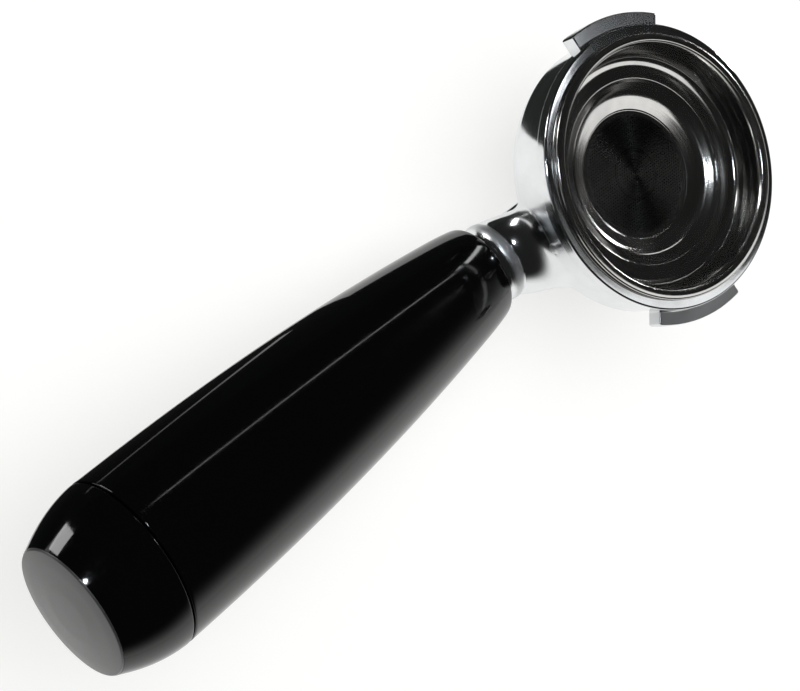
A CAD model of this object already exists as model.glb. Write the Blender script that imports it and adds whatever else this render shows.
import math

import bmesh
import bpy
from mathutils import Matrix, Vector


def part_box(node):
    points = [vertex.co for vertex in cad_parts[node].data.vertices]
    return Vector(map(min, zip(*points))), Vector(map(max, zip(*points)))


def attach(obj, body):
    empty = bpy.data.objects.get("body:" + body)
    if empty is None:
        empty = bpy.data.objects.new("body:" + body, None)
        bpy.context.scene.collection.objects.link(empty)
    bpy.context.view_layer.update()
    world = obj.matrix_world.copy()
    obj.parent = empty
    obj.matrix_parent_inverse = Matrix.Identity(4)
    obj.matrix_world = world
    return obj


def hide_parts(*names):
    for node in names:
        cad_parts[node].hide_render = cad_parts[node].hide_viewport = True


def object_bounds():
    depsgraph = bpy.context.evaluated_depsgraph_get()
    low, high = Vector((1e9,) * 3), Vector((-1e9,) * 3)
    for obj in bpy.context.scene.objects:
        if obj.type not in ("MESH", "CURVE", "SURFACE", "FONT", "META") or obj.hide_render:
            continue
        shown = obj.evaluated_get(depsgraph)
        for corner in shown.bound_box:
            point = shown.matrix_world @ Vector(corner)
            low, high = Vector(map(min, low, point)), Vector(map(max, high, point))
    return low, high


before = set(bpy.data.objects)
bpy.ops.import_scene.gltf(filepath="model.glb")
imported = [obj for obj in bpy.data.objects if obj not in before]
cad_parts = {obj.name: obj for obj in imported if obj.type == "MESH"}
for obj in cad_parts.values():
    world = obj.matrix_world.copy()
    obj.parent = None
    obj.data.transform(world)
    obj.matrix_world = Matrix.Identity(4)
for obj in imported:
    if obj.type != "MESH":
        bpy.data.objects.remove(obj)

CAD_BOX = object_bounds()
MM = 0.001

# ---- driving dimensions, in mm, the same as the CAD part's ----
RIM_Z = 46.0
BASKET_RIM_RADIUS = 35.0
RING_RADIUS = 37.6
RING_TOP_Z = RIM_Z - 1.1
HOLDER_BORE = 33.6
BOWL_OUTER = 36.75
BOWL_BASE_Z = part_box("holder_body")[0].z / MM
FLOOR_Z = BOWL_BASE_Z + 4.5
OUTLET_Y = 8.0
OUTLET_RADIUS = 3.5
GRIP_RISE = math.radians(14.3)
GRIP_AXIS_Z = 6.8
GRIP_START = 51.8
GRIP_END = 180.6
CAP_START = 181.2
CAP_END = 197.6
GRIP_OVAL = 0.76
NECK_OVAL = 0.92
POCKET_RADIUS = 11.0
POCKET_START = 152.0
PIN_ANGLE = math.radians(183.2)
PIN_Z = RIM_Z - 7.9
SPRING_Z = RIM_Z - 6.8

GRIP_AXIS = Vector((-math.cos(GRIP_RISE), 0, math.sin(GRIP_RISE)))
GRIP_UP = Vector((math.sin(GRIP_RISE), 0, math.cos(GRIP_RISE)))


def axes(x, y, z, origin):
    """A frame from its three directions and its origin."""
    matrix = Matrix((x, y, z)).transposed().to_4x4()
    matrix.translation = origin
    return matrix


UPRIGHT = Matrix.Identity(4)
ALONG_GRIP = axes(Vector((0, -1, 0)), GRIP_UP, GRIP_AXIS, Vector((0, 0, GRIP_AXIS_Z)))
pin_out = Vector((math.cos(PIN_ANGLE), math.sin(PIN_ANGLE), 0))
ALONG_PIN = axes(Vector((0, 0, 1)).cross(pin_out), Vector((0, 0, 1)), pin_out, Vector((0, 0, PIN_Z)))


# ---- mesh helpers: a shell is (points in mm, faces) ----
CREASE = math.radians(32)  # sharper edges stay hard
BEVELLED_ABOVE = 0.6  # angle between faces, in radians, past which a plate's edge is bevelled


def rounded(*corners, closed=False, steps=5):
    """A polyline through (across, along, fillet radius) corners, with the corners rounded by arcs."""
    count = len(corners)
    line = []
    for i, corner in enumerate(corners):
        here = Vector(corner[:2])
        fillet = corner[2] if len(corner) > 2 else 0
        if fillet == 0 or (not closed and i in (0, count - 1)):
            line.append(here)
            continue
        before = Vector(corners[i - 1][:2]) - here
        after = Vector(corners[(i + 1) % count][:2]) - here
        half = before.angle(after) / 2
        reach = min(fillet / math.tan(half), 0.49 * before.length, 0.49 * after.length)
        radius = reach * math.tan(half)
        centre = here + (before.normalized() + after.normalized()).normalized() * (radius / math.sin(half))
        start = here + before.normalized() * reach - centre
        end = here + after.normalized() * reach - centre
        turn = start.angle_signed(end)
        for k in range(steps + 1):
            angle = -turn * k / steps
            line.append(centre + Matrix.Rotation(angle, 2) @ start)
    return [(p.x, p.y) for p in line]


def fine(line, step):
    """The same line with no stretch longer than step."""
    points = [line[0]]
    for a, b in zip(line, line[1:]):
        parts = max(1, math.ceil(math.dist(a, b) / step))
        for k in range(1, parts + 1):
            points.append((a[0] + (b[0] - a[0]) * k / parts, a[1] + (b[1] - a[1]) * k / parts))
    return points


def turned(line, placing=UPRIGHT, segments=160, oval=1.0, closed=False, ovals=None):
    """Turns a line of (radius, height) about +Z of a frame. oval squeezes it along the frame's Y."""
    points, faces, rings = [], [], []
    for i, (radius, height) in enumerate(line):
        squeeze = ovals[i] if ovals else oval
        if radius < 1e-6:
            rings.append([len(points)] * segments)
            points.append(placing @ Vector((0, 0, height)))
            continue
        rings.append(list(range(len(points), len(points) + segments)))
        for k in range(segments):
            angle = 2 * math.pi * k / segments
            x = radius * math.cos(angle)
            y = radius * squeeze * math.sin(angle)
            points.append(placing @ Vector((x, y, height)))
    pairs = list(zip(rings, rings[1:]))
    if closed:
        pairs.append((rings[-1], rings[0]))
    for low, high in pairs:
        for k in range(segments):
            n = (k + 1) % segments
            corner = [low[k], low[n], high[n], high[k]]
            face = [v for j, v in enumerate(corner) if v != corner[j - 1]]
            if len(face) > 2:
                faces.append(face)
    return points, faces


def together(*shells):
    points, faces = [], []
    for shell_points, shell_faces in shells:
        base = len(points)
        points += shell_points
        faces += [[v + base for v in face] for face in shell_faces]
    return points, faces


def swept(path, radius, segments=16):
    """A round wire with domed ends along a path of points."""
    points, faces, rings = [], [], []
    last = len(path) - 1
    for i, here in enumerate(path):
        along = (path[min(i + 1, last)] - path[max(i - 1, 0)]).normalized()
        side = along.cross(Vector((0, 0, 1))).normalized()
        up = side.cross(along)
        rings.append(len(points))
        for k in range(segments):
            angle = 2 * math.pi * k / segments
            points.append(here + radius * (math.cos(angle) * side + math.sin(angle) * up))
    for a, b in zip(rings, rings[1:]):
        for k in range(segments):
            n = (k + 1) % segments
            faces.append([a + k, a + n, b + n, b + k])
    faces.append([rings[0] + k for k in range(segments)])
    faces.append([rings[-1] + k for k in reversed(range(segments))])
    return points, faces


def plate(outline, low, high, bevel):
    """A flat plate of a closed outline between two heights, with its edges bevelled."""
    mesh = bmesh.new()
    bottom = [mesh.verts.new((x, y, low)) for x, y in outline]
    face = mesh.faces.new(bottom)
    raised = bmesh.ops.extrude_face_region(mesh, geom=[face])["geom"]
    top = [v for v in raised if isinstance(v, bmesh.types.BMVert)]
    bmesh.ops.translate(mesh, verts=top, vec=(0, 0, high - low))
    bmesh.ops.recalc_face_normals(mesh, faces=mesh.faces)
    bmesh.ops.bevel(
        mesh,
        geom=[e for e in mesh.edges if e.calc_face_angle(0) > BEVELLED_ABOVE],
        offset=bevel,
        segments=3,
        profile=0.5,
        affect="EDGES",
        clamp_overlap=True,
    )
    mesh.verts.index_update()
    points = [v.co.copy() for v in mesh.verts]
    faces = [[v.index for v in f.verts] for f in mesh.faces]
    mesh.free()
    return points, faces


def piece(name, shell, material, body, stands_for):
    """A mesh object from a shell in mm, smooth apart from its sharp edges."""
    points, faces = shell
    mesh = bmesh.new()
    verts = [mesh.verts.new(Vector(p) * MM) for p in points]
    for face in faces:
        try:
            mesh.faces.new([verts[v] for v in face])
        except ValueError:
            pass
    bmesh.ops.remove_doubles(mesh, verts=mesh.verts, dist=2e-7)
    bmesh.ops.recalc_face_normals(mesh, faces=mesh.faces)
    data = bpy.data.meshes.new(name)
    mesh.to_mesh(data)
    mesh.free()
    data.shade_smooth()
    data.set_sharp_from_angle(angle=CREASE)
    obj = bpy.data.objects.new(name, data)
    bpy.context.scene.collection.objects.link(obj)
    data.materials.append(material)
    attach(obj, body)
    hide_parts(*stands_for)
    return obj


def combined(obj, operation, *shells):
    """Joins shells to a piece, or cuts them out of it."""
    for points, faces in shells:
        fix = bmesh.new()
        verts = [fix.verts.new(Vector(p) * MM) for p in points]
        for face in faces:
            fix.faces.new([verts[v] for v in face])
        bmesh.ops.recalc_face_normals(fix, faces=fix.faces)
        data = bpy.data.meshes.new("tool")
        fix.to_mesh(data)
        fix.free()
        data.shade_smooth()
        tool = bpy.data.objects.new("tool", data)
        bpy.context.scene.collection.objects.link(tool)
        change = obj.modifiers.new("change", "BOOLEAN")
        change.operation = operation
        change.solver = "EXACT"
        change.object = tool
        depsgraph = bpy.context.evaluated_depsgraph_get()
        result = bpy.data.meshes.new_from_object(obj.evaluated_get(depsgraph))
        obj.modifiers.clear()
        obj.data = result
        bpy.data.objects.remove(tool)
    obj.data.set_sharp_from_angle(angle=CREASE)


def even_shading(obj):
    """Normals that follow a piece's large faces, so that cut edges leave no smudges beside them."""
    change = obj.modifiers.new("even", "WEIGHTED_NORMAL")
    change.keep_sharp = True
    depsgraph = bpy.context.evaluated_depsgraph_get()
    result = bpy.data.meshes.new_from_object(obj.evaluated_get(depsgraph))
    obj.modifiers.clear()
    obj.data = result


# ---- materials ----
class Nodes:
    """Short ways to add nodes to a material."""

    def __init__(self, name):
        self.material = bpy.data.materials.new(name)
        self.material.use_nodes = True
        self.tree = self.material.node_tree
        self.shader = self.tree.nodes["Principled BSDF"]
        self.place = self.add("ShaderNodeTexCoord").outputs["Object"]

    def add(self, kind, inputs=None, **settings):
        node = self.tree.nodes.new(kind)
        for key, value in settings.items():
            setattr(node, key, value)
        for key, value in (inputs or {}).items():
            self.feed(value, node.inputs[key])
        return node

    def feed(self, value, socket):
        if isinstance(value, bpy.types.NodeSocket):
            self.tree.links.new(value, socket)
        else:
            socket.default_value = value

    def set(self, **inputs):
        for key, value in inputs.items():
            self.feed(value, self.shader.inputs[key.replace("_", " ")])

    def noise(self, scale, detail=3.0, roughness=0.5, place=None, distortion=0.0):
        node = self.add(
            "ShaderNodeTexNoise",
            {"Scale": scale, "Detail": detail, "Roughness": roughness, "Distortion": distortion},
        )
        self.feed(place or self.place, node.inputs["Vector"])
        return node.outputs["Fac"]

    def maths(self, operation, a, b):
        node = self.add("ShaderNodeMath", operation=operation)
        self.feed(a, node.inputs[0])
        self.feed(b, node.inputs[1])
        return node.outputs[0]

    def span(self, value, from_low, from_high, low, high):
        node = self.add("ShaderNodeMapRange", clamp=True)
        for key, number in (("Value", value), ("From Min", from_low), ("From Max", from_high)):
            self.feed(number, node.inputs[key])
        self.feed(low, node.inputs["To Min"])
        self.feed(high, node.inputs["To Max"])
        return node.outputs["Result"]

    def mix(self, share, a, b):
        node = self.add("ShaderNodeMix", data_type="RGBA")
        self.feed(share, node.inputs[0])
        self.feed(a, node.inputs[6])
        self.feed(b, node.inputs[7])
        return node.outputs[2]

    def bump(self, height, strength, distance, normal=None):
        node = self.add("ShaderNodeBump", {"Strength": strength, "Distance": distance})
        self.feed(height, node.inputs["Height"])
        if normal:
            self.feed(normal, node.inputs["Normal"])
        return node.outputs["Normal"]

    def radius_from_axis(self):
        """Distance from the bowl's axis, and height, in metres."""
        parts = self.add("ShaderNodeSeparateXYZ", {"Vector": self.place})
        flat = self.add("ShaderNodeCombineXYZ", {"X": parts.outputs["X"], "Y": parts.outputs["Y"]})
        length = self.add("ShaderNodeVectorMath", {"Vector": flat.outputs[0]}, operation="LENGTH")
        return length.outputs["Value"], parts.outputs["Z"]


# Where the chrome fades into a duller finish, in metres: along the radius, the height, X or Y.
LUG_RADIUS_FADE = (0.0377, 0.0379)
LUG_HEIGHT_FADE = (0.0372, 0.0373)
LUG_SIDE_FADE = (-0.01, 0.01)
NECK_ROOT_FADE = (-0.0340, -0.0360)
NECK_BEAD_FADE = (-0.0400, -0.0385)
BEAD_START_FADE = (-0.0426, -0.0438)
BEAD_END_FADE = (-0.0464, -0.0452)


def chrome():
    """Polished chrome over a cast body: slightly wavy, with faint hazy patches and fine wiping marks.

    It is duller on the lugs and the neck, and dullest on the bead.
    """
    m = Nodes("chrome")
    haze = m.noise(60, 4, 0.6)
    marks = m.noise(900, 2, 0.5)
    tone = m.mix(m.span(haze, 0.35, 0.7, 0.0, 1.0), (0.80, 0.815, 0.83, 1), (0.72, 0.73, 0.74, 1))
    m.set(Base_Color=tone, Metallic=1.0)
    radius, height = m.radius_from_axis()
    sides = m.add("ShaderNodeSeparateXYZ", {"Vector": m.place})
    past_flange = m.span(radius, *LUG_RADIUS_FADE, 0, 1)
    on_lug = m.maths("MULTIPLY", past_flange, m.span(height, *LUG_HEIGHT_FADE, 0, 1))
    wear = m.maths("MULTIPLY", on_lug, m.span(sides.outputs["Y"], *LUG_SIDE_FADE, 0.28, 0.1))
    by_neck = m.span(sides.outputs["X"], *NECK_ROOT_FADE, 0, 0.1)
    on_neck = m.maths("MULTIPLY", by_neck, m.span(sides.outputs["X"], *NECK_BEAD_FADE, 0.4, 1))
    worn = m.maths(
        "MULTIPLY",
        m.span(sides.outputs["X"], *BEAD_START_FADE, 0, 0.42),
        m.span(sides.outputs["X"], *BEAD_END_FADE, 0, 1),
    )
    polish = m.span(haze, 0.3, 0.75, 0.045, 0.12)
    m.set(Roughness=m.maths("ADD", m.maths("ADD", polish, on_neck), m.maths("ADD", wear, worn)))
    waves = m.bump(m.noise(110, 1, 0.4), 0.12, 0.00018)
    m.set(Normal=m.bump(marks, 0.06, 0.00003, waves))
    return m.material


def spun_steel(name, light, dark, anisotropic, rough):
    """Stainless sheet with the turning marks of spinning, which draw a lamp out into a radial streak."""
    m = Nodes(name)
    radius, height = m.radius_from_axis()
    around = m.add("ShaderNodeCombineXYZ", {"X": radius, "Y": height}).outputs[0]
    lines = m.noise(2400, 2, 0.6, around)
    haze = m.noise(90, 3, 0.6)
    m.set(Base_Color=m.mix(m.span(haze, 0.3, 0.7, 0.0, 1.0), (*light, 1), (*dark, 1)), Metallic=1.0)
    m.set(Roughness=m.span(lines, 0.3, 0.7, *rough), Anisotropic=anisotropic)
    m.set(Tangent=m.add("ShaderNodeTangent", direction_type="RADIAL", axis="Z").outputs[0])
    m.set(Normal=m.bump(lines, 0.05, 0.00002))
    return m.material


def plain_steel(name, colour, low, high):
    """Plated steel of nuts and screws."""
    m = Nodes(name)
    patches = m.noise(700, 4, 0.6)
    dull = tuple(0.75 * c for c in colour)
    m.set(Base_Color=m.mix(m.span(patches, 0.35, 0.7, 0.0, 1.0), (*colour, 1), (*dull, 1)), Metallic=1.0)
    m.set(Roughness=m.span(patches, 0.3, 0.7, low, high))
    m.set(Normal=m.bump(m.noise(2500, 2, 0.5), 0.1, 0.00002))
    return m.material


def gloss_black():
    """Moulded black plastic: a deep gloss with a faint ripple, fine hairlines and a little dust."""
    m = Nodes("gloss_black")
    ripple = m.noise(70, 1, 0.4)
    hair = m.noise(420, 6, 0.75, distortion=1.5)
    dust = m.noise(2600, 2, 0.5)
    tone = m.mix(m.span(dust, 0.68, 0.8, 0.0, 0.25), (0.0012, 0.0012, 0.0014, 1), (0.02, 0.02, 0.02, 1))
    m.set(Base_Color=tone, Specular_IOR_Level=0.5)
    m.set(Roughness=m.span(hair, 0.45, 0.8, 0.06, 0.16))
    m.set(Normal=m.bump(ripple, 0.08, 0.0001))
    return m.material


def satin_grey():
    """The cap's end disc: moulded with a fine matt grain."""
    m = Nodes("satin_grey")
    grain = m.noise(3800, 3, 0.6)
    cloud = m.noise(120, 3, 0.5)
    tone = m.mix(m.span(cloud, 0.3, 0.7, 0.0, 1.0), (0.026, 0.026, 0.027, 1), (0.036, 0.036, 0.037, 1))
    m.set(Base_Color=tone)
    m.set(Roughness=m.span(grain, 0.3, 0.7, 0.28, 0.4), Specular_IOR_Level=0.75)
    m.set(Sheen_Weight=0.4, Sheen_Roughness=0.4)
    m.set(Normal=m.bump(grain, 0.25, 0.00004))
    return m.material


def matt(name, colour, low, high, scale):
    """Moulded plastic or rubber with a fine grain."""
    m = Nodes(name)
    grain = m.noise(scale, 3, 0.6)
    lighter = tuple(1.35 * c + 0.002 for c in colour)
    m.set(Base_Color=m.mix(m.span(grain, 0.35, 0.7, 0.0, 1.0), (*colour, 1), (*lighter, 1)))
    m.set(Roughness=m.span(grain, 0.3, 0.7, low, high))
    m.set(Normal=m.bump(grain, 0.2, 0.00004))
    return m.material


CHROME = chrome()
STAINLESS = spun_steel("stainless", (0.72, 0.71, 0.69), (0.60, 0.595, 0.58), 0.75, (0.10, 0.17))
PERFORATED = spun_steel("perforated_steel", (0.13, 0.13, 0.125), (0.09, 0.09, 0.088), 0.85, (0.25, 0.38))
SPRING_STEEL = plain_steel("spring_steel", (0.62, 0.62, 0.61), 0.22, 0.38)
PIN_STEEL = plain_steel("pin_steel", (0.72, 0.73, 0.74), 0.38, 0.46)
FASTENER = plain_steel("fastener_steel", (0.60, 0.60, 0.59), 0.25, 0.42)
BRASS = plain_steel("brass", (0.66, 0.46, 0.20), 0.25, 0.45)
BLACK = gloss_black()
GREY = satin_grey()
SPOUT_BLACK = matt("spout_black", (0.012, 0.012, 0.013), 0.3, 0.45, 1500)
RUBBER = matt("rubber", (0.025, 0.025, 0.025), 0.7, 0.85, 2200)

# ---- holder: bowl, flange, lugs, neck and stub ----
bowl_outside = rounded(
    (0, BOWL_BASE_Z),
    (17, BOWL_BASE_Z, 0.8),
    (17.1, RIM_Z - 31, 3.5),
    (27.1, RIM_Z - 25, 12),
    (35.6, RIM_Z - 18.6, 3.2),
    (BOWL_OUTER, RIM_Z - 15.4, 3),
    (BOWL_OUTER, RING_TOP_Z - 4.4, 0.5),
    (RING_RADIUS, RING_TOP_Z - 3.5, 0.35),
    (RING_RADIUS, RING_TOP_Z, 0.6),
    (0, RING_TOP_Z),
    steps=8,
)
bowl_inside = rounded(
    (0, RING_TOP_Z + 2),
    (HOLDER_BORE + 0.6, RING_TOP_Z + 2),
    (HOLDER_BORE + 0.6, RING_TOP_Z),
    (HOLDER_BORE, RING_TOP_Z - 0.7, 0.3),
    (HOLDER_BORE, SPRING_Z + 1.1, 0.2),
    (HOLDER_BORE + 0.9, SPRING_Z + 0.8, 0.3),
    (HOLDER_BORE + 0.9, SPRING_Z - 0.8, 0.3),
    (HOLDER_BORE, SPRING_Z - 1.1, 0.2),
    (HOLDER_BORE, RIM_Z - 13.5, 3),
    (32.2, RIM_Z - 16.4, 3),
    (24, RIM_Z - 22.4, 10),
    (13.6, RIM_Z - 28, 2),
    (13, FLOOR_Z, 1.2),
    (0, FLOOR_Z),
    steps=8,
)

LUG_OUTER = 41.3
LUG_TOP_Z = RIM_Z - 3.6
LUG_HEIGHT = 4.8
LUG_ANGLE = math.radians(76.8)
LUG_HALF_SPAN = math.radians(20.6)


def lug(middle):
    """A sector standing out past the flange, with rounded corners and edges."""
    corners = []
    for k in range(25):
        angle = middle - LUG_HALF_SPAN + 2 * LUG_HALF_SPAN * k / 24
        corners.append((LUG_OUTER * math.cos(angle), LUG_OUTER * math.sin(angle)))
    root = RING_RADIUS - 2.2
    inner = []
    for k in range(9):
        angle = middle + LUG_HALF_SPAN - 2 * LUG_HALF_SPAN * k / 8
        inner.append((root * math.cos(angle), root * math.sin(angle)))
    soft = [(*corners[0], 2.6)] + [(*c, 0) for c in corners[1:-1]] + [(*corners[-1], 2.0)]
    line = rounded(*soft, *[(*c, 0) for c in inner], closed=True, steps=6)
    return plate(line, LUG_TOP_Z - LUG_HEIGHT, LUG_TOP_Z, bevel=0.4)


# The bowl's outside below the flange, as (radius, height below the rim), from the bottom up.
WALL = [(r, z - RIM_Z) for r, z in fine(bowl_outside, 0.4) if r > 16.5 and z < RING_TOP_Z - 4.4]


def on_wall(drop, y):
    """Point of the bowl's outside on the neck's side, at a height below the rim and a y, and its normal."""
    near = min(range(3, len(WALL) - 3), key=lambda i: abs(WALL[i][1] - drop))
    radius = WALL[near][0]
    slope_r = WALL[near + 3][0] - WALL[near - 3][0]
    slope_z = WALL[near + 3][1] - WALL[near - 3][1]
    x = -math.sqrt(radius * radius - y * y)
    normal = Vector((x / radius * slope_z, y / radius * slope_z, -slope_r)).normalized()
    return Vector((x, y, drop)), normal


# Bead at the end of the neck: x, radius and height of its middle below the rim.
BEAD = (
    (-46.6, 9.7, -26.2),
    (-46.2, 10.15, -26.3),
    (-45.6, 10.65, -26.4),
    (-44.9, 11.0, -26.5),
    (-44.1, 11.1, -26.55),
    (-43.3, 11.0, -26.5),
    (-42.6, 10.8, -26.35),
)
NECK_SQUASH = 0.9
NECK_REACH_LEFT, NECK_REACH_RIGHT = 12.0, 17.5
NECK_JOIN_TOP, NECK_JOIN_MIDDLE, NECK_JOIN_BOTTOM = -6.6, -19.5, -30.0
NECK_END_MIDDLE = (-44, 0, -26.2)  # inside the bead, where the neck's first ring is closed
NECK_CORE_X = -16  # inside the bowl, where its last ring is closed


def neck_curve(angle):
    """Bezier points from the bead to the bowl's wall, at one angle round the neck."""
    across, up = math.cos(angle), math.sin(angle)
    x, radius, middle = BEAD[-1]
    start = Vector((x, radius * across, middle + NECK_SQUASH * radius * up))
    reach = NECK_REACH_LEFT if across > 0 else NECK_REACH_RIGHT
    rise = NECK_JOIN_TOP - NECK_JOIN_MIDDLE if up > 0 else NECK_JOIN_MIDDLE - NECK_JOIN_BOTTOM
    square_up = math.copysign(abs(up) ** 0.7, up)
    square_across = math.copysign(abs(across) ** 0.7, across)
    end, normal = on_wall(NECK_JOIN_MIDDLE + rise * square_up, reach * square_across)
    leaving = Vector((1, 0.7 * min(across, 0), 0.3 + 0.13 * max(up, 0)))
    outward = Vector((0, across, 0.9 * up + 0.3))
    along = (outward - outward.dot(normal) * normal).normalized()
    share = min(max((up + 0.75) / 0.6, 0), 1)
    share = share * share * (3 - 2 * share)
    arriving = (share * along + (1 - share) * Vector((1, 0, 0.1))).normalized()
    length = 0.4 * (end - start).length
    sunk = end - 0.35 * normal
    return start, start + leaving * length, sunk - arriving * length, sunk


def neck_shell(segments=160, steps=22):
    """The neck: a round bead, then a skin that flows out into the bowl's wall like a fillet."""
    angles = [2 * math.pi * k / segments for k in range(segments)]
    rings = []
    for x, radius, middle in BEAD[:-1]:
        high = NECK_SQUASH * radius
        rings.append([Vector((x, radius * math.cos(a), middle + high * math.sin(a))) for a in angles])
    curves = [neck_curve(a) for a in angles]
    for i in range(steps + 1):
        t = i / steps
        u = 1 - t
        rings.append([u**3 * a + 3 * u * u * t * b + 3 * u * t * t * c + t**3 * d for a, b, c, d in curves])
    core = Vector((NECK_CORE_X, 0, NECK_JOIN_MIDDLE))
    rings.append([curve[-1].lerp(core, 0.3) for curve in curves])
    points = [p + Vector((0, 0, RIM_Z)) for ring in rings for p in ring]
    faces = []
    for i in range(len(rings) - 1):
        for k in range(segments):
            n = (k + 1) % segments
            faces.append([i * segments + k, i * segments + n, (i + 1) * segments + n, (i + 1) * segments + k])
    for ring, middle in ((0, Vector(NECK_END_MIDDLE)), (len(rings) - 1, core)):
        points.append(middle + Vector((0, 0, RIM_Z)))
        for k in range(segments):
            faces.append([ring * segments + k, ring * segments + (k + 1) % segments, len(points) - 1])
    return points, faces


neck = neck_shell()
STUB_START, STUB_END = 43, GRIP_START - 0.4
STUB_RADIUS = 10.3
stub = turned(
    rounded(
        (0, STUB_START),
        (STUB_RADIUS - 0.1, STUB_START),
        (STUB_RADIUS, GRIP_START - 1.4),
        (STUB_RADIUS - 0.5, STUB_END, 0.4),
        (0, STUB_END),
    ),
    ALONG_GRIP,
    128,
    NECK_OVAL,
)
holder = piece(
    "holder_casting",
    turned(fine(bowl_outside, 0.7), segments=256),
    CHROME,
    "holder",
    ["holder_body"],
)
combined(holder, "UNION", neck, stub, lug(LUG_ANGLE), lug(LUG_ANGLE + math.pi))
combined(holder, "DIFFERENCE", turned(fine(bowl_inside, 1.5), segments=256))

PIN_SHANK, PIN_HEAD = 1.1, 1.5
PIN_SEAT = 37.4  # distance of the head's underside from the bowl's axis
piece(
    "spring_pin_domed",
    turned(
        rounded(
            (0, HOLDER_BORE + 0.3),
            (PIN_SHANK, HOLDER_BORE + 0.3, 0.2),
            (PIN_SHANK, PIN_SEAT),
            (PIN_HEAD, PIN_SEAT, 0.1),
            (PIN_HEAD, PIN_SEAT + 0.8, 0.2),
            (0.7, PIN_SEAT + 1.05, 1),
            (0, PIN_SEAT + 1.1),
        ),
        ALONG_PIN,
        32,
    ),
    PIN_STEEL,
    "holder",
    ["spring_pin"],
)

SPRING_GAP = math.radians(18)
SPRING_RADIUS = HOLDER_BORE - 0.1
SPRING_WIRE_RADIUS = 0.75
SPRING_STEPS = 180
spring_path = []
for k in range(SPRING_STEPS + 1):
    angle = PIN_ANGLE + SPRING_GAP / 2 + (2 * math.pi - SPRING_GAP) * k / SPRING_STEPS
    spring_path.append(Vector((SPRING_RADIUS * math.cos(angle), SPRING_RADIUS * math.sin(angle), SPRING_Z)))
piece(
    "basket_spring_wire",
    swept(spring_path, SPRING_WIRE_RADIUS),
    SPRING_STEEL,
    "holder",
    ["basket_spring"],
)

# ---- basket ----
SHEET = 0.7
BASE_Z = RIM_Z - 13
BASE_RADIUS = 16.6
PERFORATED_RADIUS = 16.0
HOLE_RADIUS = 0.22
HOLE_PITCH = 0.85
BASE_EDGE = BASE_RADIUS - 0.2  # where the perforated plate meets the dished wall


def perforated(radius, outer, hole, pitch, top, bottom, segments=160):
    """A round plate with a hexagonal grid of round holes within radius, out to a plain edge at outer."""
    mesh = bmesh.new()
    known = {}

    def vertex(x, y, z):
        key = (round(x, 4), round(y, 4), round(z, 4))
        if key not in known:
            known[key] = mesh.verts.new((x, y, z))
        return known[key]

    reach = int(radius / pitch) + 2
    for j in range(-reach, reach + 1):
        for i in range(-reach, reach + 1):
            cx = pitch * (i + 0.5 * (j % 2))
            cy = pitch * j * math.sqrt(3) / 2
            if math.hypot(cx, cy) > radius - pitch / 2:
                continue
            edge, rim = [], []
            for k in range(12):
                angle = math.radians(30 * k)
                far = pitch / 2 if k % 2 == 0 else pitch / math.sqrt(3)
                edge.append((cx + far * math.cos(angle), cy + far * math.sin(angle)))
                rim.append((cx + hole * math.cos(angle), cy + hole * math.sin(angle)))
            for k in range(12):
                n = (k + 1) % 12
                for z, order in ((top, 1), (bottom, -1)):
                    corners = [(*edge[k], z), (*edge[n], z), (*rim[n], z), (*rim[k], z)]
                    mesh.faces.new([vertex(*c) for c in corners[::order]])
                wall = [(*rim[k], top), (*rim[n], top), (*rim[n], bottom), (*rim[k], bottom)]
                mesh.faces.new([vertex(*c) for c in wall])
    for z in (top, bottom):
        angles = [2 * math.pi * k / segments for k in range(segments)]
        circle = [vertex(outer * math.cos(a), outer * math.sin(a), z) for a in angles]
        edges = [mesh.edges.new((circle[k], circle[(k + 1) % segments])) for k in range(segments)]
        edges += [e for e in mesh.edges if len(e.link_faces) == 1 and abs(e.verts[0].co.z - z) < 1e-6]
        bmesh.ops.triangle_fill(mesh, use_beauty=True, edges=edges, normal=(0, 0, 1))
    mesh.verts.index_update()
    points = [v.co.copy() for v in mesh.verts]
    faces = [[v.index for v in f.verts] for f in mesh.faces]
    mesh.free()
    return points, faces


def shifted(line, distance):
    """The line moved sideways, to its right."""
    moved = []
    for i, point in enumerate(line):
        before = Vector(line[max(i - 1, 0)])
        after = Vector(line[min(i + 1, len(line) - 1)])
        along = (after - before).normalized()
        moved.append((point[0] + along.y * distance, point[1] - along.x * distance))
    return moved


dish = rounded(
    (BASE_EDGE, BASE_Z),
    (17.1, BASE_Z, 0.6),
    (17.5, BASE_Z + 0.25, 0.6),
    (21.4, BASE_Z + 1.25, 9),
    (24.1, BASE_Z + 3.25, 1.2),
    (24.9, BASE_Z + 3.95, 0.6),
    (28.6, BASE_Z + 4.05, 6),
    (30.6, BASE_Z + 5.0, 1.6),
    (31.2, BASE_Z + 7.2, 2),
    (31.6, BASE_Z + 9.5, 6),
    (31.9, RIM_Z - 1.2, 2),
    (32.05, RIM_Z - 0.6),
    steps=8,
)
dish = [p for i, p in enumerate(dish) if i == 0 or math.dist(p, dish[i - 1]) > 1e-4]
rim = rounded(
    dish[-1],
    (32.6, RIM_Z + 0.4, 0.9),
    (BASKET_RIM_RADIUS - 1, RIM_Z + 0.45, 3),
    (BASKET_RIM_RADIUS, RIM_Z + 0.2, 0.9),
    (BASKET_RIM_RADIUS - 0.05, RING_TOP_Z + 0.12, 0.5),
    (32.8, RING_TOP_Z + 0.12),
    steps=7,
)[1:]
underside = shifted(dish, SHEET)
underside[0] = (BASE_EDGE, BASE_Z - SHEET)
basket_line = dish + rim + underside[::-1]
basket = piece(
    "basket_sheet",
    together(
        turned(basket_line, segments=160),
        perforated(PERFORATED_RADIUS, BASE_EDGE, HOLE_RADIUS, HOLE_PITCH, BASE_Z, BASE_Z - SHEET),
    ),
    STAINLESS,
    "basket",
    ["filter_basket"],
)
basket.data.materials.append(PERFORATED)
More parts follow.
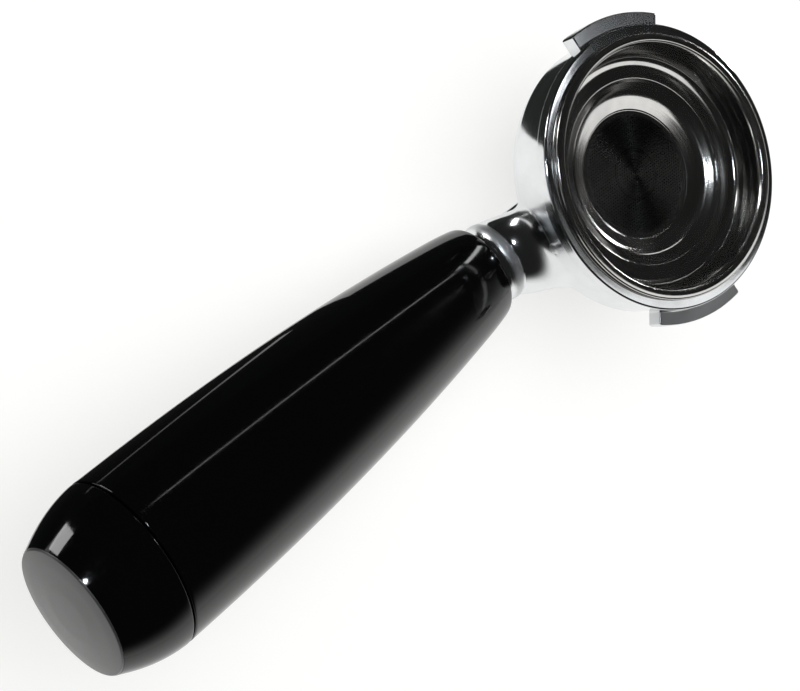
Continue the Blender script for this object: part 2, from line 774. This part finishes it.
for face in basket.data.polygons:
    near_axis = math.hypot(face.center.x, face.center.y) < PERFORATED_RADIUS * MM
    if near_axis and face.center.z < (BASE_Z + 0.5) * MM:
        face.material_index = 1

# ---- spout ----
HOLE_TOP = FLOOR_Z + 6
SCREW_HOLE_RADIUS = 2.2
SCREW_HOLE_FLOOR = 1.5


def hole(radius, low, y, segments):
    """A round cutter from a height up through the holder's floor."""
    line = [(0, low), (radius, low), (radius, HOLE_TOP), (0, HOLE_TOP)]
    return turned(line, Matrix.Translation((0, y, 0)), segments)


OUTLETS = [hole(OUTLET_RADIUS, -2, y, 48) for y in (-OUTLET_Y, OUTLET_Y)]
SCREW_HOLE = hole(SCREW_HOLE_RADIUS, SCREW_HOLE_FLOOR, 0, 32)


def stadium(length, width):
    """Outline of a long hole: two half circles and two straights, along Y."""
    line = []
    for k in range(33):
        angle = math.pi * k / 32
        line.append((width / 2 * math.cos(angle), (length - width) / 2 + width / 2 * math.sin(angle)))
    return line + [(-x, -y) for x, y in line]


SPOUT_LENGTH, SPOUT_WIDTH, SPOUT_HEIGHT = 29, 16, 7
GASKET_INSET = 2.4
spout = piece(
    "spout_body",
    plate(stadium(SPOUT_LENGTH, SPOUT_WIDTH), 0, SPOUT_HEIGHT, 0.9),
    SPOUT_BLACK,
    "holder",
    ["spout_block"],
)
gasket = piece(
    "spout_seal",
    plate(stadium(SPOUT_LENGTH - GASKET_INSET, SPOUT_WIDTH - GASKET_INSET), 7.1, 7.9, 0.15),
    RUBBER,
    "holder",
    ["spout_gasket"],
)
for part in (holder, spout, gasket):
    combined(part, "DIFFERENCE", *OUTLETS, SCREW_HOLE)
even_shading(holder)

# ---- grip, cap and disc ----
FRONT_HALF, MIDDLE_HALF, REAR_HALF = 13.5, 19.2, 20.33


def grip_half_width(distance):
    """Parabola through the half-widths at the front, the middle and the rear."""
    t = (distance - GRIP_START) / (GRIP_END - GRIP_START)
    bend = 2 * (FRONT_HALF + REAR_HALF) - 4 * MIDDLE_HALF
    slope = REAR_HALF - FRONT_HALF - bend
    roll_off = 0.3 * max(0, 1 - (distance - GRIP_START) / 10) ** 2
    return FRONT_HALF + slope * t + bend * t * t - roll_off


STUD_HOLE = 4.4
GRIP_STEPS = 40
grip_sides = []
for k in range(GRIP_STEPS + 1):
    distance = GRIP_START + 2.0 + (GRIP_END - GRIP_START - 3.0) * k / GRIP_STEPS
    grip_sides.append((grip_half_width(distance), distance))
grip_line = [(STUD_HOLE, GRIP_START)]
grip_line += rounded(
    (5.5, GRIP_START), (grip_half_width(GRIP_START) - 0.1, GRIP_START, 1.8), (*grip_sides[0],), steps=8
)
grip_line += grip_sides[1:]
grip_line += rounded(
    grip_sides[-1], (grip_half_width(GRIP_END), GRIP_END, 0.4), (POCKET_RADIUS + 1, GRIP_END), steps=5
)[1:]
outer_count = len(grip_line)
grip_line += [(POCKET_RADIUS, GRIP_END), (POCKET_RADIUS, POCKET_START), (STUD_HOLE, POCKET_START)]
grip_ovals = [1.0] + [GRIP_OVAL] * (outer_count - 1) + [1.0] * 3
piece(
    "grip_moulding",
    turned(grip_line, ALONG_GRIP, 192, closed=True, ovals=grip_ovals),
    BLACK,
    "holder",
    ["grip"],
)

FACE_HALF = 15.0
DISC_HALF = 15.2
DISC_EDGE = 0.8
SPIGOT_HALF = 13.8
CAP_STEPS = 24
PLUG_START = 170.0
PLUG_FLOOR = 189.1
PLUG_RADIUS, PLUG_INSIDE = 10.75, 8.25
CAP_SCREW_HOLE, CAP_SCREW_HEAD_HOLE = 1.65, 3.4
cap_sides = []
for k in range(CAP_STEPS):
    t = k / CAP_STEPS
    narrowing = (REAR_HALF - FACE_HALF) * (0.25 * t + 0.75 * t * t)
    cap_sides.append((REAR_HALF - narrowing, CAP_START + 0.4 + (CAP_END - CAP_START - 0.4) * t))
cap_sides = [side for side in cap_sides if side[1] < CAP_END - DISC_EDGE - 0.3]
cap_line = [
    (CAP_SCREW_HOLE, PLUG_FLOOR),
    (PLUG_INSIDE, PLUG_FLOOR),
    (PLUG_INSIDE, PLUG_START),
    (PLUG_RADIUS, PLUG_START),
    (PLUG_RADIUS, CAP_START),
]
plug_count = len(cap_line)
cap_line += rounded((12, CAP_START), (REAR_HALF, CAP_START, 0.4), cap_sides[0], steps=5)
cap_line += cap_sides[1:-1]
cap_line += rounded(
    cap_sides[-1],
    (FACE_HALF + 0.5, CAP_END - DISC_EDGE - 0.02, 0.05),
    (SPIGOT_HALF + 0.08, CAP_END - DISC_EDGE - 0.02),
    (SPIGOT_HALF + 0.08, CAP_END - 2.1),
    steps=4,
)[1:]
cap_outer = len(cap_line)
cap_line += [
    (CAP_SCREW_HEAD_HOLE, CAP_END - 2.1),
    (CAP_SCREW_HEAD_HOLE, CAP_END - 6.5),
    (CAP_SCREW_HOLE, CAP_END - 6.5),
]
cap_ovals = [1.0] * plug_count + [GRIP_OVAL] * (cap_outer - plug_count) + [1.0] * 3
piece(
    "cap_moulding",
    turned(cap_line, ALONG_GRIP, 192, closed=True, ovals=cap_ovals),
    BLACK,
    "holder",
    ["end_cap"],
)
piece(
    "cap_end_disc",
    turned(
        rounded(
            (0, CAP_END - 2),
            (SPIGOT_HALF, CAP_END - 2, 0.1),
            (SPIGOT_HALF, CAP_END - DISC_EDGE),
            (FACE_HALF + 0.46, CAP_END - DISC_EDGE, 0.05),
            (DISC_HALF, CAP_END - 0.4, 0.45),
            (0.8 * DISC_HALF, CAP_END - 0.05, 40),
            (0.4 * DISC_HALF, CAP_END + 0.36, 40),
            (0, CAP_END + 0.48),
        ),
        ALONG_GRIP,
        160,
        GRIP_OVAL,
    ),
    GREY,
    "holder",
    ["cap_disc"],
)

for name, material in (
    ("spout_screw", FASTENER),
    ("spout_screw_washer", BRASS),
    ("grip_stud", FASTENER),
    ("stud_washer", FASTENER),
    ("stud_lock_washer", FASTENER),
    ("stud_nut", FASTENER),
    ("cap_screw", FASTENER),
):
    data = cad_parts[name].data
    data.materials.clear()
    data.materials.append(material)


# ---- camera ----
camera_data = bpy.data.cameras.new("camera")
camera_data.sensor_width = 36
camera_data.lens = 67.5
camera_data.clip_start = 0.01
camera = bpy.data.objects.new("camera", camera_data)
bpy.context.scene.collection.objects.link(camera)
camera_right = Vector((0.7249, -0.4857, 0.4884))
camera_up = Vector((0.5236, 0.8493, 0.0673))
camera_back = Vector((-0.4475, 0.2070, 0.8700))
camera.matrix_world = axes(camera_right, camera_up, camera_back, Vector((-0.2486, 0.0745, 0.3473)))
bpy.context.scene.camera = camera


# ---- floor and light ----
def floor_material():
    """A pale sweep lit partly from below, so that shadows on it stay faint."""
    m = Nodes("floor")
    cloud = m.noise(3, 3, 0.5)
    m.set(Base_Color=m.mix(cloud, (0.36, 0.36, 0.355, 1), (0.39, 0.39, 0.385, 1)))
    m.set(Roughness=0.9, Specular_IOR_Level=0.1)
    m.set(Emission_Color=(1.0, 1.0, 0.985, 1), Emission_Strength=0.7)
    return m.material


def card_material(name, colour):
    """A card that gives one even light, or none."""
    m = Nodes(name)
    m.set(Base_Color=(0, 0, 0, 1), Specular_IOR_Level=0.0, Roughness=1.0)
    m.set(Emission_Color=(*colour, 1), Emission_Strength=1.0)
    return m.material


def stage_plate(name, outline, height, material, reflected_only):
    """A flat shape of the stage, level with the floor."""
    mesh = bmesh.new()
    mesh.faces.new([mesh.verts.new((x, y, height)) for x, y in outline])
    mesh.normal_update()
    data = bpy.data.meshes.new(name)
    mesh.to_mesh(data)
    mesh.free()
    data.materials.append(material)
    obj = bpy.data.objects.new(name, data)
    bpy.context.scene.collection.objects.link(obj)
    if reflected_only:
        obj.visible_camera = False
        obj.visible_diffuse = False
        obj.visible_shadow = False
        obj.visible_transmission = False


FLOOR_LEVEL = CAD_BOX[0].z - 0.0002
FLOOR_RADIUS = 3
circle = []
for k in range(128):
    angle = math.pi * k / 64
    circle.append((FLOOR_RADIUS * math.cos(angle), FLOOR_RADIUS * math.sin(angle)))
stage_plate("floor", circle, FLOOR_LEVEL, floor_material(), False)
# Cards that only reflections see: a dark one on the far side and the pale edge of a sheet of paper.
dark_side = [(-0.28, 0.026), (-0.085, 0.026), (-0.06, 0.05), (3, 0.05), (3, 3), (-0.28, 3)]
stage_plate("dark_side", dark_side, FLOOR_LEVEL + 0.0005, card_material("dark", (0.02, 0.022, 0.02)), True)
paper_edge = [(-0.086, 0.045), (-0.138, 0.168), (-0.144, 0.166), (-0.092, 0.042)]
stage_plate("paper_edge", paper_edge, FLOOR_LEVEL + 0.001, card_material("edge", (0.95, 0.95, 0.93)), True)

world = bpy.data.worlds.new("studio")
bpy.context.scene.world = world
world.use_nodes = True
tree = world.node_tree
tree.nodes.clear()
seen = tree.nodes.new("ShaderNodeBackground")
seen.inputs["Color"].default_value = (0.93, 0.93, 0.92, 1)
room = tree.nodes.new("ShaderNodeBackground")


def world_node(kind, inputs, **settings):
    node = tree.nodes.new(kind)
    for key, value in settings.items():
        setattr(node, key, value)
    for key, value in inputs.items():
        if isinstance(value, bpy.types.NodeSocket):
            tree.links.new(value, node.inputs[key])
        else:
            node.inputs[key].default_value = value
    return node.outputs


def ramp(value, low, high):
    """0 below low, 1 above high, and smooth between them."""
    inputs = {"Value": value, "From Min": low, "From Max": high}
    return world_node("ShaderNodeMapRange", inputs, interpolation_type="SMOOTHSTEP")[0]


# The room that reflections see: dark, but for a pale wall on the -Y side that fades upwards.
ray = world_node("ShaderNodeTexCoord", {})["Generated"]
ray_parts = world_node("ShaderNodeSeparateXYZ", {"Vector": ray})
sideways = ramp(ray_parts["Y"], -0.20, -0.75)
low_down = ramp(ray_parts["Z"], 0.50, -0.02)
wall = world_node("ShaderNodeMath", {0: sideways, 1: low_down}, operation="MULTIPLY")[0]
wall = world_node("ShaderNodeMath", {0: wall, 1: ramp(ray_parts["Z"], 0.45, -0.02)}, operation="MULTIPLY")[0]
room_light = world_node("ShaderNodeMath", {0: wall, 1: 0.9, 2: 0.014}, operation="MULTIPLY_ADD")[0]
tree.links.new(room_light, room.inputs["Strength"])
room.inputs["Color"].default_value = (1, 1, 0.98, 1)
path = tree.nodes.new("ShaderNodeLightPath")
either = tree.nodes.new("ShaderNodeMixShader")
out = tree.nodes.new("ShaderNodeOutputWorld")
tree.links.new(path.outputs["Is Camera Ray"], either.inputs[0])
tree.links.new(room.outputs[0], either.inputs[1])
tree.links.new(seen.outputs[0], either.inputs[2])
tree.links.new(either.outputs[0], out.inputs["Surface"])


def direction(azimuth, elevation):
    a, e = math.radians(azimuth), math.radians(elevation)
    return Vector((math.cos(a) * math.cos(e), math.sin(a) * math.cos(e), math.sin(e)))


def light(
    name,
    start,
    end,
    width,
    radiance,
    distance=1.2,
    target=(0, 0, 0.04),
    glossy=True,
    diffuse=False,
    colour=(1, 1, 1),
    lit=None,
):
    """A straight lamp between two directions (azimuth from +X, elevation), as seen from a target.

    It shines on the pieces of the collection lit, or on everything.
    """
    a = Vector(target) + direction(*start) * distance
    b = Vector(target) + direction(*end) * distance
    along = b - a
    facing = ((a + b) / 2 - Vector(target)).normalized()
    side = along.normalized().cross(facing).normalized()
    data = bpy.data.lights.new(name, "AREA")
    data.shape = "RECTANGLE"
    data.size, data.size_y = width, along.length
    data.energy = radiance * math.pi * width * along.length
    data.color = colour
    obj = bpy.data.objects.new(name, data)
    up = along.normalized()
    facing = side.cross(up)
    matrix = Matrix((side, up, facing)).transposed().to_4x4()
    matrix.translation = (a + b) / 2
    obj.matrix_world = matrix
    obj.visible_camera = False
    obj.visible_glossy = glossy
    obj.visible_diffuse = diffuse
    if lit:
        obj.light_linking.receiver_collection = lit
    bpy.context.scene.collection.objects.link(obj)


# Lamps that are meant for one metal piece shine on its collection only.
chromed = bpy.data.collections.new("chromed")
chromed.objects.link(holder)
sheet_steel = bpy.data.collections.new("sheet_steel")
sheet_steel.objects.link(basket)


GRIP_MIDDLE = (-0.12, 0, 0.055)
FLASH = Vector((-0.32, 0.294, 0.86))  # where the flash stands, beside the camera
light("overhead", (60, 50), (240, 70), 2.4, 2.5, 1.8, glossy=False, diffuse=True)
light("tube", (15, 16.5), (40, 37), 0.014, 3.5, target=GRIP_MIDDLE)
light("back_lamp", (-1, 11), (-1, 21), 0.06, 30, target=(-0.055, 0, 0.03), distance=0.9)
light(
    "flash",
    (140, 67),
    (140, 71),
    0.06,
    100,
    target=FLASH - direction(140, 69) * 0.9,
    distance=0.9,
    colour=(0.86, 0.93, 1),
)
light("far_lamp", (-6.5, 53), (-6.5, 57), 0.07, 3.0, distance=1.3, colour=(0.93, 0.96, 1), lit=chromed)
light("ceiling", (-29, 44), (-29, 57), 0.11, 1.0, distance=1.3, lit=chromed)
light("sheet", (-34, 20), (-80, 66), 0.34, 1.0, distance=1.3, lit=sheet_steel)
light("window", (101, -5), (101, 18), 0.13, 7, target=(-0.185, 0.02, 0.055), distance=0.5)

bpy.context.scene.view_settings.view_transform = "Standard"
